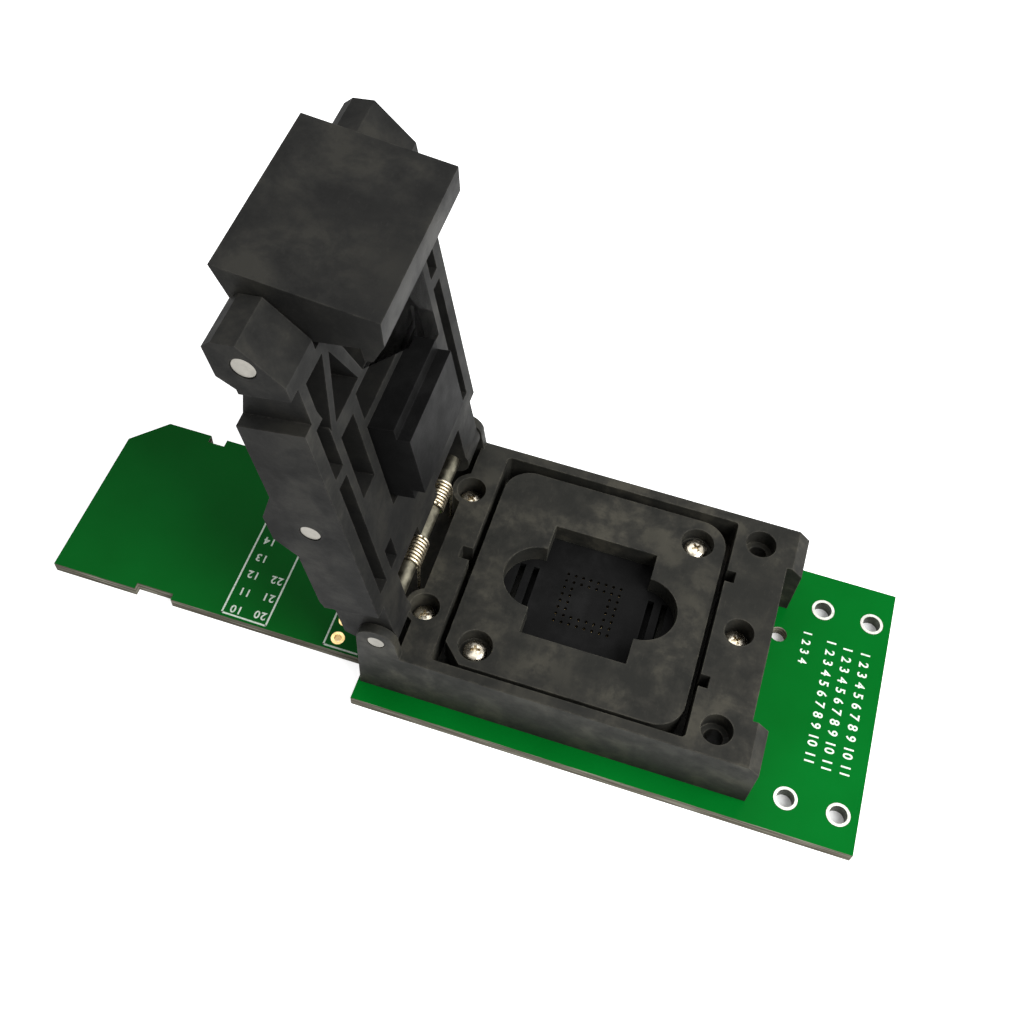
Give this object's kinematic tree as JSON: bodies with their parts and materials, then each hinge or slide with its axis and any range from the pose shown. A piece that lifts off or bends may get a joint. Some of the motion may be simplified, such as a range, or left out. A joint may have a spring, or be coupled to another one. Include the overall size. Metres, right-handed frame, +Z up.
{
  "type": "zif socket",
  "caption": "Clamshell ZIF test socket with a floating chip nest, sprung lid and hook latch, screwed to a card-edge adapter board.",
  "frame": {"origin": "middle of the board's underside", "axes": "+X from the card-edge tongue to the wide end, +Y across the board along the hinge, +Z up out of the board"},
  "size_m": [0.0998, 0.0346, 0.0606],
  "materials": {
    "solder_mask": "glossy green solder mask on glass-fibre board",
    "gold_plate": "thin gold plate",
    "tin_plate": "bright tin plate",
    "moulded_plastic": "glass-filled black moulding with a soft mottled sheen",
    "dark_plastic": "smooth black moulding",
    "steel": "ground steel",
    "nickel_screw": "nickel plate",
    "spring_wire": "bright drawn wire with a warm tint"
  },
  "bodies": {
    "board_and_base": {"circuit_board": "solder_mask", "card_contacts": "gold_plate", "header_sleeves": "gold_plate", "corner_sleeves": "tin_plate", "landing_pads": "gold_plate", "base_frame": "moulded_plastic", "pin_carrier": "dark_plastic", "retainer_plate": "dark_plastic", "contact_pins": "gold_plate", "locating_pins": "steel", "clinch_nuts": "steel", "base_screws": "nickel_screw", "nest_screws": "nickel_screw", "nest_springs": "spring_wire", "hinge_shaft": "steel", "lid_spring": "spring_wire"},
    "nest": {"nest_plate": "moulded_plastic", "nest_floor": "dark_plastic"},
    "lid": {"lid_frame": "moulded_plastic", "pusher_pin": "steel", "latch_pin": "steel", "pusher_springs": "spring_wire", "latch_springs": "spring_wire"},
    "pusher": {"pusher_block": "dark_plastic"},
    "hook_latch": {"latch": "moulded_plastic"}
  },
  "joints": [
    {"name": "lid_hinge", "type": "hinge", "parent": "board_and_base", "child": "lid", "pos_m": [-0.00665, 0.00085, 0.0128], "axis": [0, 1, 0], "range_deg": [0, 101], "stiffness_Nm_per_rad": 0.006, "springref_deg": -34.38, "deforming": ["lid_spring"]},
    {"name": "latch_pivot", "type": "hinge", "parent": "lid", "child": "hook_latch", "pos_m": [-0.01659, 0.00085, 0.0561], "axis": [0, -1, 0], "range_deg": [0, 25], "stiffness_Nm_per_rad": 0.003, "springref_deg": -17.19, "deforming": ["latch_springs"]},
    {"name": "pusher_rock", "type": "hinge", "parent": "lid", "child": "pusher", "pos_m": [-0.01262, 0.00085, 0.03252], "axis": [0, 1, 0], "range_deg": [-2, 2], "stiffness_Nm_per_rad": 0.01, "deforming": ["pusher_springs"]},
    {"name": "nest_float", "type": "slide", "parent": "board_and_base", "child": "nest", "axis": [0, 0, -1], "range_m": [0, 0.0008], "stiffness_N_per_m": 1000, "springref_m": -0.001, "deforming": ["nest_springs"]}
  ]
}
